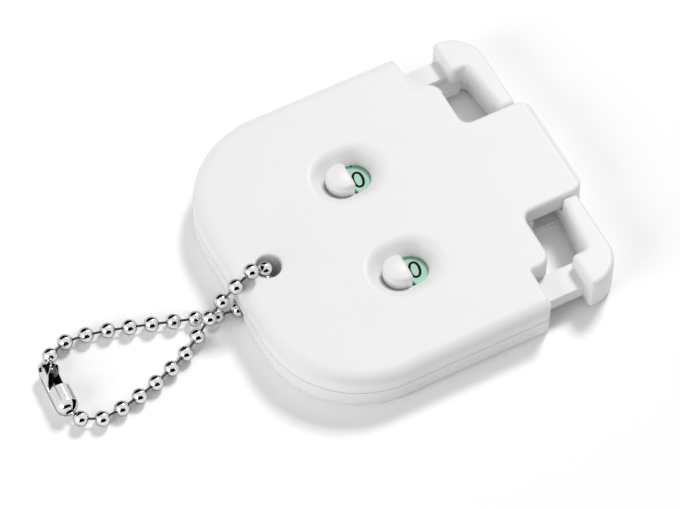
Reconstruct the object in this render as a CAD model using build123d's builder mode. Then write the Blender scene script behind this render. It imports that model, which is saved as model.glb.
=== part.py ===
from build123d import *

import os
from math import atan2, cos, radians, sin, sqrt, tan

# A two-player stroke counter: a flat white case with two push levers at its
# right end, two counting dials under windows, two reset buttons and a ball
# chain through a hole at its left end.
# Millimetres. X runs from the chain hole towards the levers, Y across the case
# from player 2 to player 1, Z up. The origin is the middle of the underside.

# Case
case_length = 56.0
case_width = 52.4
case_height = 7.2
split_height = 4.0
wall = 1.4
roof = 1.2
floor = 1.0
corner_round = 16.0
top_round = 2.1
bottom_round = 1.0
edge_round = 0.6
bottom_chamfer = 0.2
reveal_height = 0.18
reveal_depth = 0.4

# Stepped right end
tongue_reach = 15.1
tongue_half = 9.4
tongue_corner = 2.2
tongue_bow = 0.45
tongue_bow_round = 90.0
tongue_end_round = 1.5
lobe_step = 3.7
lobe_inset = 7.3
lobe_corner = 2.2
lobe_inner_round = 1.6
shoulder_corner = 1.6
shoulder_inner_round = 0.4
least_corner = 0.3

# Window, finger dish and dial
window_back = 16.5
window_apart = 18.8
window_length = 7.5
window_width = 5.4
dish_depth = 2.1
dish_margin = 1.9
dish_lip = 0.4
dish_rim_round = 2.0
dish_wall = 1.6
dial_offset = 8.0
dial_radius = 7.6
dial_face = 0.8
dial_gap = 0.2
dial_neck_radius = 4.6
positions = 10
ratchet_tip = 7.0
ratchet_root = 5.8
ratchet_height = 1.1
ratchet_neck = 0.5
hub_radius = 1.7
axle_radius = 0.75
running_gap = 0.03
end_play = 0.05
axle_boss_radius = 1.6
axle_seat = 0.6
axle_chamfer = 0.12
seat_gap = 0.01

# Push lever
lever_gap = 6.7
lever_inset = 2.0
lever_side_inset = 0.8
lever_outer_round = 5.6
lever_small_round = 1.0
lever_back_round = 0.7
lever_back_flat = 0.05
lever_edge = 0.75
lever_bottom = 0.4
lever_top_drop = 0.3
block_width = 6.3
plate_root = 3.6
plate_tip = 2.5
plate_bow = 0.15
plate_bow_round = 60.0
plate_tip_round = 0.8
plate_root_round = 0.8
slide_gap = 0.15
bar_inset = 2.6
bar_width = 3.4
bar_bottom = 1.9
bar_top = 4.4
bar_tail = 15.0
ledge_offset = 9.1
ledge_top = 3.2
ledge_tail = 6.9
ledge_reach = 1.4
tab_inner = 7.0
tab_top = 3.6
tab_width = 2.3
tab_inset = 0.4
slot_wall = 1.4
pusher_height = 6.5
pawl_thickness = 0.4
pawl_gap = 0.12
pawl_slope = 34.0
pawl_seat = 0.8
pawl_drop = 0.05

# Lever spring
spring_wire = 0.3
spring_gap = 0.05
spigot_radius = 0.7
spigot_length = 1.5
lever_spring_radius = 1.05
lever_spring_length = 10.2
lever_spring_turns = 9
post_thickness = 1.9
post_top_gap = 0.2
guide_rib = 0.9
guide_inner_length = 3.7
guide_outer_length = 12.0
guide_lead = 0.4

# Reset button
button_flat_back = 4.0
button_gap = 0.18
button_proud = 0.4
button_crown = 0.6
button_dome = 9.0
button_corner = 0.7
button_travel = 1.2
flange_thickness = 0.9
flange_reach = 1.0
flange_back = 2.0
flange_front = 0.1
button_post_radius = 0.8
button_post_gap = 0.2
button_post_grip = 0.6
button_post_inset = 1.9
button_spring_radius = 1.35
button_spring_turns = 4
wedge_width = 1.4
wedge_inner = 1.5
wedge_outer = 3.0
wedge_edge = 2.3
wedge_clear = 0.15

# Spiral return spring
spiral_inner = 1.9
spiral_step = 0.55
spiral_halves = 6
spiral_strip = 0.22
spiral_height = 0.6
spiral_lift = 0.15
anchor_radius = 0.5
anchor_gap = 0.1

# Holding pawl
holder_angle = 249.0
holder_reach = 6.4
holder_length = 9.4
holder_slope = 14.0
holder_post = 0.9
holder_gap = 0.02
holder_slit = 3.6

# Screws
screw_shank = 0.8
screw_head = 1.6
screw_head_height = 0.9
screw_length = 5.2
screw_slot = 0.45
screw_slot_depth = 0.4
screw_recess = 0.2
screw_gap = 0.1
boss_wall = 1.1
left_screw_inset = 9.5
left_screw_apart = 30.0
right_screw_inset = 14.5

# Chain
hole_inset = 6.0
hole_radius = 2.0
hole_mouth = 0.4
hole_boss = 1.3
bead_radius = 1.2
bead_wall = 0.25
bead_count = 27
bead_hole = 0.3
wire_radius = 0.19
wire_head = 0.36
wire_head_out = 0.5
channel_gap = 0.45
channel_height = 2.65
channel_wall = 1.0
channel_side_room = 1.6
channel_mouth_room = 1.2
coupling_bead = 14
coupling_bead_gap = 6.0
coupling_length = 9.2
coupling_radius = 1.75
coupling_wall = 0.3
coupling_slot = 1.3
coupling_neck = 0.8
bead_lift = 0.03
coupling_lift = 0.04
bend_share = 0.45

# Cuts run past a face by this much, and selections reach this far past a rim
spare = 0.1

# Places worked out from the sizes above
far = case_length
left_x = -case_length / 2
tongue_x = case_length / 2
shoulder_x = tongue_x - tongue_reach
lobe_x = shoulder_x + lobe_step
lobe_half = case_width / 2 - lobe_inset
window_x = shoulder_x - window_back
window_y = window_apart / 2
dial_x = window_x + dial_offset
hole_x = left_x + hole_inset
inside_top = case_height - roof
window_rim = case_height - dish_depth
lip_bottom = window_rim - dish_lip
dial_top = lip_bottom - dial_gap
dial_bottom = dial_top - dial_face
ratchet_top = dial_bottom - ratchet_neck
ratchet_bottom = ratchet_top - ratchet_height
half_step = 180.0 / positions
lever_travel = 2 * pusher_height * tan(radians(half_step))
block_x = shoulder_x + lever_gap
lever_x = tongue_x - lever_inset
lever_half = case_width / 2 - lever_side_inset
block_inner = lever_half - block_width
bar_outer = case_width / 2 - bar_inset
bar_inner = bar_outer - bar_width
ledge_inner = window_y + ledge_offset
rod_inner = min(ledge_inner, bar_inner)
lever_top = case_height - lever_top_drop
button_left = window_x - window_length / 2 + button_gap
button_flat = window_x - window_length / 2 + button_flat_back
button_half = window_width / 2 - button_gap
button_top = case_height + button_proud
button_round_x = button_left + button_half
button_post_x = button_left + button_post_inset
flange_top = lip_bottom - slide_gap
flange_bottom = flange_top - flange_thickness
flange_x0 = button_left - flange_back
flange_x1 = button_flat - flange_front
flange_y = button_half + flange_reach
button_post_top = flange_bottom + button_post_grip
button_bore_top = button_post_top + button_travel + end_play
lever_spring_y = (bar_inner + bar_outer) / 2
lever_spring_z = (bar_bottom + bar_top) / 2
bar_end = shoulder_x - bar_tail
spring_post_x = bar_end - lever_spring_length - 2 * spring_gap
tab_x1 = lever_x - tab_inset
tab_x0 = tab_x1 - tab_width
slide_bottom = floor + slide_gap
pawl_bottom = ratchet_bottom + pawl_drop
pawl_top = ratchet_top - pawl_drop
pawl_turn = pawl_slope
pawl_tip = (
    dial_x + pusher_height * tan(radians(half_step)) + pawl_gap,
    window_y + pusher_height,
)
pawl_length = (ledge_inner + pawl_seat - pawl_tip[1]) / sin(radians(pawl_turn))
pawl_hold = 2 * pawl_seat + (ledge_inner - rod_inner) / sin(radians(pawl_turn))
pawl_foot = (
    pawl_tip[0] + (pawl_length - pawl_hold) * cos(radians(pawl_turn)),
    pawl_tip[1] + (pawl_length - pawl_hold) * sin(radians(pawl_turn)),
)
holder_tip = (
    dial_x + holder_reach * cos(radians(holder_angle)),
    window_y + holder_reach * sin(radians(holder_angle)),
)
holder_anchor = Vector(
    holder_tip[0] - (holder_length - holder_post) * cos(radians(holder_slope)),
    holder_tip[1] - (holder_length - holder_post) * sin(radians(holder_slope)),
)
spiral_bottom = floor + spiral_lift
spiral_top = spiral_bottom + spiral_height
spiral_turn = 1 if spiral_halves % 2 == 0 else -1
spiral_end = Vector(
    dial_x + spiral_turn * (spiral_inner + spiral_halves * spiral_step),
    window_y + spiral_turn * (anchor_radius + seat_gap),
)


def case_corners(inset):
    """Corner points and radii of the case's plan, drawn in by inset."""
    half = case_width / 2 - inset
    left = left_x + inset
    end = tongue_x - inset
    step_y = lobe_half - inset
    tongue_y = tongue_half - inset
    bow = tongue_bow * (tongue_y / tongue_half) ** 2
    upper = [
        (end + tongue_bow_apex(tongue_y, bow), 0),
        (end - bow, tongue_y),
        (lobe_x - inset, tongue_y),
        (lobe_x - inset, step_y),
        (shoulder_x - inset, step_y),
        (shoulder_x - inset, half),
        (left, half),
    ]
    radii = [
        tongue_bow_round,
        max(tongue_corner - inset, least_corner),
        lobe_inner_round + inset,
        max(lobe_corner - inset, least_corner),
        shoulder_inner_round + inset,
        max(shoulder_corner - inset, least_corner),
        corner_round - inset,
    ]
    points = upper + [(x, -y) for x, y in reversed(upper[1:])]
    return points, radii + list(reversed(radii[1:]))


def tongue_bow_apex(half, bow):
    """How far the sharp apex of the bowed tongue end stands past its arc."""
    root = half**2 - 2 * tongue_bow_round * bow
    turn = (half - sqrt(max(root, 0))) / tongue_bow_round
    return tongue_bow_round * (1 / cos(turn) - 1)


def case_plan(inset):
    """The case's plan as a wire, for use inside a sketch."""
    points, radii = case_corners(inset)
    FilletPolyline(*points, radius=radii, close=True)


def plain_plan(inset):
    """The case's plan without its stepped end, for the wide outer rounding."""
    x0 = left_x + inset
    x1 = tongue_x + corner_round
    half = case_width / 2 - inset
    FilletPolyline(
        (x1, -half),
        (x1, half),
        (x0, half),
        (x0, -half),
        radius=corner_round - inset,
        close=True,
    )


def add_slab(low, high, inset, mode=Mode.ADD):
    """The case's plan, drawn in by inset, between two heights."""
    with BuildSketch(Plane.XY.offset(low)) as plan:
        with BuildLine():
            case_plan(inset)
        make_face()
    extrude(to_extrude=plan.sketch, amount=high - low, mode=mode)


def add_block(x0, x1, y0, y1, z0, z1, mode=Mode.ADD):
    """A box between two corners."""
    with Locations(((x0 + x1) / 2, (y0 + y1) / 2, (z0 + z1) / 2)):
        Box(abs(x1 - x0), abs(y1 - y0), abs(z1 - z0), mode=mode)


def add_post(x, y, radius, z0, z1, mode=Mode.ADD):
    """An upright round post or bore."""
    with Locations((x, y, (z0 + z1) / 2)):
        Cylinder(radius, z1 - z0, mode=mode)


def add_rod(start, end, radius, mode=Mode.ADD):
    """A round rod or bore between two points."""
    along = Vector(*end) - Vector(*start)
    with Locations(Plane(start, z_dir=along)):
        Cylinder(radius, along.length, align=(Align.CENTER, Align.CENTER, Align.MIN), mode=mode)


def add_slot(x, y, margin, z0, z1, mode=Mode.ADD):
    """The window's outline, widened by margin, between two heights."""
    with BuildSketch(Plane.XY.offset(z0)) as outline:
        with Locations((x, y)):
            SlotOverall(window_length + 2 * margin, window_width + 2 * margin)
    extrude(to_extrude=outline.sketch, amount=z1 - z0, mode=mode)


def add_strip(start, angle, length, z0, z1, mode=Mode.ADD, room=0.0):
    """An upright flat strip whose middle line leaves start at an angle."""
    turned = Plane(start + (z0,), x_dir=(cos(radians(angle)), sin(radians(angle)), 0), z_dir=(0, 0, 1))
    with BuildSketch(turned) as outline:
        with Locations((length / 2, 0)):
            Rectangle(length, pawl_thickness + 2 * room)
    extrude(to_extrude=outline.sketch, amount=z1 - z0, mode=mode)


def add_coil(start, along, across, radius, length, turns):
    """An open coil spring, wound in quarter turns that meet smoothly."""
    step = (length - spring_wire) / turns / 4
    other = along.cross(across)
    ring = (across, other, -across, -other)
    first = start + along * (spring_wire / 2)
    points = [first + ring[i % 4] * radius + along * (step * i) for i in range(4 * turns + 1)]
    heading = other + along * (step / 2 / radius)
    with BuildLine() as path:
        for here, there in zip(points, points[1:]):
            arc = TangentArc(here, there, tangent=heading)
            heading = arc % 1
    with BuildSketch(Plane(points[0], z_dir=path.wire() % 0)) as wire_section:
        Circle(spring_wire / 2)
    sweep(wire_section.sketch, path=path.wire())


# Outer form of the closed case: stepped plan with narrow edge roundings, cut
# by a plain plan with the wide roundings of its long sides and left corners,
# and by a block with the wide rounding of its tongue's end
with BuildPart() as outer_form:
    add_slab(0, case_height, 0)
    fillet(outer_form.faces().sort_by(Axis.Z)[-1].edges(), edge_round)
    chamfer(outer_form.faces().sort_by(Axis.Z)[0].edges(), bottom_chamfer)

with BuildPart() as pillow_form:
    with BuildSketch():
        with BuildLine():
            plain_plan(0)
        make_face()
    extrude(amount=case_height)
    fillet(pillow_form.faces().sort_by(Axis.Z)[-1].edges(), top_round)
    fillet(pillow_form.faces().sort_by(Axis.Z)[0].edges(), bottom_round)

with BuildPart() as end_form:
    add_block(-far, tongue_x, -far, far, -far, case_height)
    fillet(end_form.faces().sort_by(Axis.X)[-1].edges().sort_by(Axis.Z)[-1], tongue_end_round)

screw_places = [
    (left_x + left_screw_inset, left_screw_apart / 2),
    (left_x + left_screw_inset, -left_screw_apart / 2),
    (tongue_x - right_screw_inset, 0),
]
screw_head_top = screw_recess + screw_head_height
screw_end = screw_head_top + screw_length

# Chain route from the chain hole's middle: up out of the hole, down over the
# case's left edge, round the table, through the coupling and back under the
# case to the hole
table_z = bead_radius + bead_lift
coupling_z = coupling_radius + coupling_lift
chain_route = [
    (-0.5, -0.1, 3.8),
    (-0.2, -0.2, 7.9),
    (-3.4, -0.7, 9.2),
    (-6.3, -1.5, 7.8),
    (-8.2, -1.4, 5.5),
    (-10.2, -2.0, 3.8),
    (-12.6, -2.7, 1.5),
    (-16.0, -4.7, table_z),
    (-20.8, -6.8, table_z),
    (-26.2, -8.5, table_z),
    (-31.6, -9.5, table_z),
    (-34.8, -9.0, table_z),
    (-36.3, -6.2, coupling_z),
    (-36.5, -1.9, coupling_z),
    (-36.1, 2.2, coupling_z),
    (-34.6, 4.7, table_z),
    (-31.4, 5.6, table_z),
    (-26.6, 4.7, table_z),
    (-21.4, 3.1, table_z),
    (-15.6, 1.1, table_z),
    (-10.6, -0.6, table_z),
    (-6.4, -1.8, table_z),
    (-2.7, -1.0, table_z),
]


def route_radii(points):
    """The arc radius at each inner point, as large as its two runs allow."""
    radii = []
    for before, here, after in zip(points, points[1:], points[2:]):
        run_in = Vector(*here) - Vector(*before)
        run_out = Vector(*after) - Vector(*here)
        shorter = min(run_in.length, run_out.length)
        turn = radians(run_in.get_angle(run_out))
        radii.append(bend_share * shorter / tan(turn / 2))
    return radii


route = [(hole_x + x, y, z) for x, y, z in chain_route]
bend_radii = route_radii(route)
with BuildLine() as chain_line:
    FilletPolyline(*route, radius=bend_radii)
chain_length = chain_line.wire().length
pitch = (chain_length - coupling_bead_gap) / (bead_count - 2)
bead_places = [pitch * i for i in range(bead_count)]
for i in range(coupling_bead + 1, bead_count):
    bead_places[i] += coupling_bead_gap - pitch
beads = [chain_line.wire().position_at(place / chain_length) for place in bead_places]
print("chain line", round(chain_length, 2), "mm, bead pitch", round(pitch, 2))
print("chain bend radii", [round(r, 1) for r in bend_radii])

with BuildPart() as top_cover:
    add(outer_form.part)
    add(pillow_form.part, mode=Mode.INTERSECT)
    add(end_form.part, mode=Mode.INTERSECT)
    add_block(-far, far, -far, far, -far, split_height, mode=Mode.SUBTRACT)
    add_slab(split_height, inside_top, wall, mode=Mode.SUBTRACT)
    for side in (1, -1):
        add_slot(window_x, side * window_y, dish_wall, lip_bottom, inside_top)
        add_post(dial_x, side * window_y, axle_boss_radius, dial_top + end_play, inside_top)
    for x, y in screw_places:
        add_post(x, y, screw_shank + boss_wall, split_height, inside_top)
    add_post(hole_x, 0, hole_radius + hole_boss, split_height, inside_top)
    # Finger dishes, windows and the seats of the axles
    for side in (1, -1):
        add_slot(window_x, side * window_y, 0, lip_bottom, case_height, mode=Mode.SUBTRACT)
        with BuildSketch(Plane.XY.offset(window_rim)) as dish_foot:
            with Locations((window_x, side * window_y)):
                SlotOverall(window_length, window_width)
        with BuildSketch(Plane.XY.offset(case_height)) as dish_mouth:
            with Locations((window_x, side * window_y)):
                SlotOverall(window_length + 2 * dish_margin, window_width + 2 * dish_margin)
        loft([dish_foot.sketch, dish_mouth.sketch], mode=Mode.SUBTRACT)
        add_post(
            dial_x,
            side * window_y,
            axle_radius + seat_gap,
            dial_top,
            dial_top + end_play + axle_seat,
            mode=Mode.SUBTRACT,
        )
        add_block(
            shoulder_x - wall - spare,
            shoulder_x + spare,
            side * (bar_inner - slide_gap),
            side * (bar_outer + slide_gap),
            split_height,
            bar_top + slide_gap,
            mode=Mode.SUBTRACT,
        )
    for x, y in screw_places:
        add_post(x, y, screw_shank + seat_gap, split_height, screw_end + spare, mode=Mode.SUBTRACT)
    add_post(hole_x, 0, hole_radius, split_height, case_height, mode=Mode.SUBTRACT)
    dish_reach = window_length / 2 + dish_margin + spare
    for x, y, reach, rounding in (
        (window_x, window_y, dish_reach, dish_rim_round),
        (window_x, -window_y, dish_reach, dish_rim_round),
        (hole_x, 0, hole_radius + spare, hole_mouth),
    ):
        rim_middle = Vertex(x, y, case_height)
        top_edges = top_cover.edges().group_by(Axis.Z)[-1]
        fillet(top_edges.filter_by(lambda e: e.distance_to(rim_middle) < reach), rounding)

with BuildPart() as groove_ring:
    add_slab(split_height - reveal_height, split_height, 0)
    add_slab(split_height - reveal_height, split_height, reveal_depth, mode=Mode.SUBTRACT)

channel_half = bead_radius + channel_gap
channel_start = Vector(*route[-1])
channel_end = Vector(*route[-2])
channel_turn = atan2(channel_end.Y - channel_start.Y, channel_end.X - channel_start.X)
with BuildPart() as bottom_cover:
    add(outer_form.part)
    add(pillow_form.part, mode=Mode.INTERSECT)
    add(end_form.part, mode=Mode.INTERSECT)
    add_block(-far, far, -far, far, split_height, case_height, mode=Mode.SUBTRACT)
    add(groove_ring.part, mode=Mode.SUBTRACT)
    add_slab(floor, split_height, wall, mode=Mode.SUBTRACT)
    for x, y in screw_places:
        add_post(x, y, screw_head + boss_wall, floor, split_height)
    # Block round the chain's way under the case
    add_block(
        left_x + wall / 2,
        hole_x + hole_radius + channel_wall,
        -channel_half - channel_wall - channel_side_room,
        channel_half + channel_wall,
        floor / 2,
        split_height,
    )
    add_post(hole_x, 0, hole_radius, channel_height / 2, split_height, mode=Mode.SUBTRACT)
    with BuildSketch(Plane(channel_start, x_dir=(cos(channel_turn), sin(channel_turn), 0), z_dir=(0, 0, 1))) as way:
        with Locations((hole_inset, 0)):
            Rectangle(2 * hole_inset, 2 * channel_half)
        Circle(channel_half)
        with Locations((-channel_mouth_room, 0)):
            Circle(channel_half)
    extrude(to_extrude=way.sketch, amount=channel_height - channel_start.Z, mode=Mode.SUBTRACT)
    extrude(to_extrude=way.sketch, amount=-2 * channel_start.Z, mode=Mode.SUBTRACT)
    for side in (1, -1):
        # Slots in the tongue's sides for the guide tabs of the levers
        add_block(
            tab_x0 - lever_travel - 2 * slide_gap - slot_wall,
            tongue_x - wall / 2,
            side * (tab_inner - slide_gap - slot_wall),
            side * (tongue_half - wall / 2),
            floor,
            split_height,
        )
        add_block(
            tab_x0 - lever_travel - 2 * slide_gap,
            tab_x1 + slide_gap,
            side * (tab_inner - slide_gap),
            side * far,
            floor,
            split_height,
            mode=Mode.SUBTRACT,
        )
        # Ways through the end wall for the ledge and the main bar of the lever
        add_block(
            shoulder_x - wall - spare,
            lobe_x + spare,
            side * (rod_inner - slide_gap),
            side * (bar_outer + slide_gap),
            floor,
            ledge_top + slide_gap,
            mode=Mode.SUBTRACT,
        )
        add_block(
            shoulder_x - wall - spare,
            shoulder_x + spare,
            side * (bar_inner - slide_gap),
            side * (bar_outer + slide_gap),
            ledge_top,
            split_height,
            mode=Mode.SUBTRACT,
        )
        # Guide ribs beside the main bar and the post behind its spring
        add_block(
            bar_end - guide_lead,
            bar_end - guide_lead + guide_inner_length,
            side * (bar_inner - slide_gap - guide_rib),
            side * (bar_inner - slide_gap),
            floor,
            split_height,
        )
        add_block(
            bar_end + guide_lead,
            bar_end + guide_lead + guide_outer_length,
            side * (bar_outer + slide_gap),
            side * (case_width / 2 - wall / 2),
            floor,
            split_height,
        )
        add_block(
            spring_post_x - post_thickness,
            spring_post_x,
            side * bar_inner,
            side * bar_outer,
            floor,
            inside_top - post_top_gap,
        )
        add_rod(
            (spring_post_x - post_thickness / 2, side * lever_spring_y, lever_spring_z),
            (spring_post_x + spigot_length, side * lever_spring_y, lever_spring_z),
            spigot_radius,
        )
        # Posts of the reset button, the spiral spring and the holding pawl
        add_post(button_post_x, side * window_y, button_post_radius, floor, button_post_top)
        add_post(spiral_end.X, side * spiral_end.Y, anchor_radius, floor, spiral_top + anchor_gap)
        add_post(holder_anchor.X, side * holder_anchor.Y, holder_post, floor, pawl_top)
        add_post(
            dial_x,
            side * window_y,
            axle_radius + seat_gap,
            floor - axle_seat,
            floor,
            mode=Mode.SUBTRACT,
        )
        with BuildSketch(
            Plane(
                (holder_anchor.X, side * holder_anchor.Y, pawl_bottom - holder_gap),
                x_dir=(cos(radians(holder_slope)), side * sin(radians(holder_slope)), 0),
                z_dir=(0, 0, 1),
            )
        ) as slit:
            Rectangle(holder_slit, pawl_thickness + 2 * holder_gap)
        extrude(to_extrude=slit.sketch, amount=split_height - pawl_bottom, mode=Mode.SUBTRACT)
    for x, y in screw_places:
        add_post(x, y, screw_head + screw_gap, 0, screw_head_top, mode=Mode.SUBTRACT)
        add_post(x, y, screw_shank + screw_gap, screw_head_top, split_height, mode=Mode.SUBTRACT)

with BuildPart() as case_screws:
    for x, y in screw_places:
        add_post(x, y, screw_head, screw_recess, screw_head_top)
        add_post(x, y, screw_shank, screw_head_top, screw_end)
        add_block(
            x - screw_head,
            x + screw_head,
            y - screw_slot / 2,
            y + screw_slot / 2,
            screw_recess,
            screw_recess + screw_slot_depth,
            mode=Mode.SUBTRACT,
        )

# Player 1's pieces; player 2's are their mirror images
with BuildPart() as lever:
    middle_y = (block_inner + tongue_half) / 2
    outer_round = min(lever_outer_round, lever_x - block_x - lever_back_round - lever_back_flat)
    with BuildSketch(Plane.XY.offset(lever_bottom)) as lever_plan:
        with BuildLine():
            FilletPolyline(
                (block_x, block_inner),
                (lever_x - plate_root, block_inner),
                (lever_x - (plate_root + plate_tip) / 2 - plate_bow, middle_y),
                (lever_x - plate_tip, tongue_half + slide_gap),
                (lever_x, tongue_half + slide_gap),
                (lever_x, lever_half),
                (block_x, lever_half),
                radius=[
                    lever_small_round,
                    plate_root_round,
                    plate_bow_round,
                    plate_tip_round,
                    plate_tip_round,
                    outer_round,
                    lever_back_round,
                ],
                close=True,
            )
        make_face()
    extrude(to_extrude=lever_plan.sketch, amount=lever_top - lever_bottom)
    fillet(lever.faces().sort_by(Axis.Z)[-1].edges(), lever_edge)
    fillet(lever.faces().sort_by(Axis.Z)[0].edges(), lever_edge)
    add_block(bar_end, block_x + ledge_reach, bar_inner, bar_outer, bar_bottom, bar_top)
    add_block(
        shoulder_x - ledge_tail,
        block_x + ledge_reach,
        ledge_inner,
        bar_inner,
        slide_bottom,
        ledge_top,
    )
    add_block(tab_x0, tab_x1, tab_inner, tongue_half + lever_small_round, slide_bottom, tab_top)
    add_rod(
        (bar_end + spigot_length, lever_spring_y, lever_spring_z),
        (bar_end - spigot_length, lever_spring_y, lever_spring_z),
        spigot_radius,
    )
    add_strip(pawl_foot, pawl_turn, pawl_hold, slide_bottom, ledge_top, Mode.SUBTRACT, holder_gap)

with BuildPart() as drive_pawl:
    add_strip(pawl_tip, pawl_turn, pawl_length, pawl_bottom, pawl_top)

with BuildPart() as lever_spring:
    add_coil(
        Vector(spring_post_x + spring_gap, lever_spring_y, lever_spring_z),
        Vector(1, 0, 0),
        Vector(0, 1, 0),
        lever_spring_radius,
        lever_spring_length,
        lever_spring_turns,
    )

with BuildPart() as dial:
    add_post(dial_x, window_y, dial_radius, dial_bottom, dial_top)
    add_post(dial_x, window_y, dial_neck_radius, ratchet_top, dial_bottom)
    tooth_points = []
    for i in range(positions):
        face = radians(4 * half_step + 2 * half_step * i)
        tooth_points.append((dial_x + ratchet_root * cos(face), window_y + ratchet_root * sin(face)))
        tooth_points.append((dial_x + ratchet_tip * cos(face), window_y + ratchet_tip * sin(face)))
    with BuildSketch(Plane.XY.offset(ratchet_bottom)) as ratchet_plan:
        with BuildLine():
            Polyline(*tooth_points, close=True)
        make_face()
    extrude(to_extrude=ratchet_plan.sketch, amount=ratchet_height)
    add_post(dial_x, window_y, hub_radius, floor + end_play, ratchet_bottom)
    add_post(dial_x, window_y, axle_radius + running_gap, 0, case_height, mode=Mode.SUBTRACT)

with BuildPart() as axle:
    add_post(dial_x, window_y, axle_radius, floor - axle_seat, dial_top + end_play + axle_seat)
    chamfer(axle.edges().filter_by(GeomType.CIRCLE), axle_chamfer)

with BuildPart() as spiral_spring:
    with BuildSketch(Plane.XY.offset(spiral_bottom)) as spiral_plan:
        with BuildLine():
            start = Vector(dial_x + spiral_inner, window_y)
            for i in range(spiral_halves):
                way_round = 1 if i % 2 == 0 else -1
                span = 2 * spiral_inner + (2 * i + 1) * spiral_step
                end = start - Vector(way_round * span, 0)
                summit = (start + end) / 2 + Vector(0, way_round * span / 2)
                ThreePointArc(start, summit, end)
                start = end
        trace(line_width=spiral_strip)
    extrude(to_extrude=spiral_plan.sketch, amount=spiral_height)

with BuildPart() as holding_pawl:
    add_strip(holder_tip, 180 + holder_slope, holder_length, pawl_bottom, pawl_top)

with BuildPart() as reset_button:
    with BuildSketch(Plane.XY.offset(flange_top)) as knob_plan:
        with BuildLine():
            ThreePointArc(
                (button_round_x, window_y + button_half),
                (button_left, window_y),
                (button_round_x, window_y - button_half),
            )
            FilletPolyline(
                (button_round_x, window_y - button_half),
                (button_flat, window_y - button_half),
                (button_flat, window_y + button_half),
                (button_round_x, window_y + button_half),
                radius=button_corner,
            )
        make_face()
    extrude(to_extrude=knob_plan.sketch, amount=button_top - flange_top)
    with Locations(((button_left + button_flat) / 2, window_y, button_top - button_dome)):
        Sphere(button_dome, mode=Mode.INTERSECT)
    fillet(reset_button.faces().sort_by(Axis.Z)[-1].edges(), button_crown)
    add_block(
        flange_x0,
        flange_x1,
        window_y - flange_y,
        window_y + flange_y,
        flange_bottom,
        flange_top,
    )
    add_block(
        flange_x1 - wedge_width,
        flange_x1,
        wedge_inner,
        window_y - flange_y,
        flange_bottom,
        flange_top,
    )
    with BuildSketch(Plane.YZ.offset(flange_x1 - wedge_width)) as wedge_side:
        with BuildLine():
            Polyline(
                (wedge_inner, flange_top),
                (wedge_inner, flange_bottom),
                (wedge_edge, pawl_top + wedge_clear),
                (wedge_outer, pawl_top + wedge_clear),
                (wedge_outer, flange_top),
                close=True,
            )
        make_face()
    extrude(to_extrude=wedge_side.sketch, amount=wedge_width)
    add_post(
        button_post_x,
        window_y,
        button_post_radius + button_post_gap,
        0,
        button_bore_top,
        mode=Mode.SUBTRACT,
    )

with BuildPart() as button_spring:
    add_coil(
        Vector(button_post_x, window_y, floor + spring_gap),
        Vector(0, 0, 1),
        Vector(1, 0, 0),
        button_spring_radius,
        flange_bottom - floor - 2 * spring_gap,
        button_spring_turns,
    )

# Chain: hollow balls, the dumb-bell wires between them and the coupling
link_ends = [(i, i + 1) for i in range(bead_count - 1) if i != coupling_bead]
link_ends.append((bead_count - 1, 0))
neighbours = {i: [] for i in range(bead_count)}
for i, j in link_ends:
    neighbours[i].append((beads[j] - beads[i]).normalized())
    neighbours[j].append((beads[i] - beads[j]).normalized())
bead_solids = []
for middle, ways in zip(beads, neighbours.values()):
    along = (ways[0] - ways[-1]).normalized() if len(ways) == 2 else ways[0]
    across = along.cross(Vector(0, 0, 1)).normalized()
    with BuildPart(Plane(middle, x_dir=across.cross(along), z_dir=across)) as ball:
        Sphere(bead_radius)
        Sphere(bead_radius - bead_wall, mode=Mode.SUBTRACT)
    with BuildPart() as pierced:
        add(ball.part)
        for way in ways:
            add_rod(middle, middle + way * (bead_radius + bead_wall), bead_hole, mode=Mode.SUBTRACT)
    bead_solids.append(pierced.part.solid())
with BuildPart() as chain_beads:
    add(bead_solids)

link_solids = []
for i, j in link_ends:
    way = (beads[j] - beads[i]).normalized()
    reach = (beads[j] - beads[i]).length / 2 - wire_head_out
    with BuildPart(Plane((beads[i] + beads[j]) / 2, z_dir=way)) as link:
        Cylinder(wire_radius, 2 * reach)
        with Locations((0, 0, reach), (0, 0, -reach)):
            Sphere(wire_head)
    link_solids.append(link.part.solid())
with BuildPart() as chain_links:
    add(link_solids)

coupling_middle = (beads[coupling_bead] + beads[coupling_bead + 1]) / 2
coupling_axis = (beads[coupling_bead + 1] - beads[coupling_bead]).normalized()
with BuildPart() as chain_coupling:
    coupling_plane = Plane(
        coupling_middle - coupling_axis * (coupling_length / 2),
        x_dir=(0, 0, 1),
        z_dir=coupling_axis,
    )
    with BuildSketch(coupling_plane) as coupling_section:
        Circle(coupling_radius)
    extrude(to_extrude=coupling_section.sketch, amount=coupling_length)
    chamfer(chain_coupling.edges().filter_by(GeomType.CIRCLE), coupling_wall)
    with BuildSketch(coupling_plane.offset(coupling_wall)) as coupling_inside:
        Circle(coupling_radius - coupling_wall)
    extrude(to_extrude=coupling_inside.sketch, amount=coupling_length - 2 * coupling_wall, mode=Mode.SUBTRACT)
    with BuildSketch(coupling_plane) as coupling_necks:
        Circle(coupling_neck)
    extrude(to_extrude=coupling_necks.sketch, amount=coupling_length, mode=Mode.SUBTRACT)
    with BuildSketch(coupling_plane) as coupling_gap:
        with Locations((coupling_radius, 0)):
            Rectangle(2 * coupling_radius, coupling_slot)
    extrude(to_extrude=coupling_gap.sketch, amount=coupling_length, mode=Mode.SUBTRACT)

os.makedirs("parts", exist_ok=True)

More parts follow.
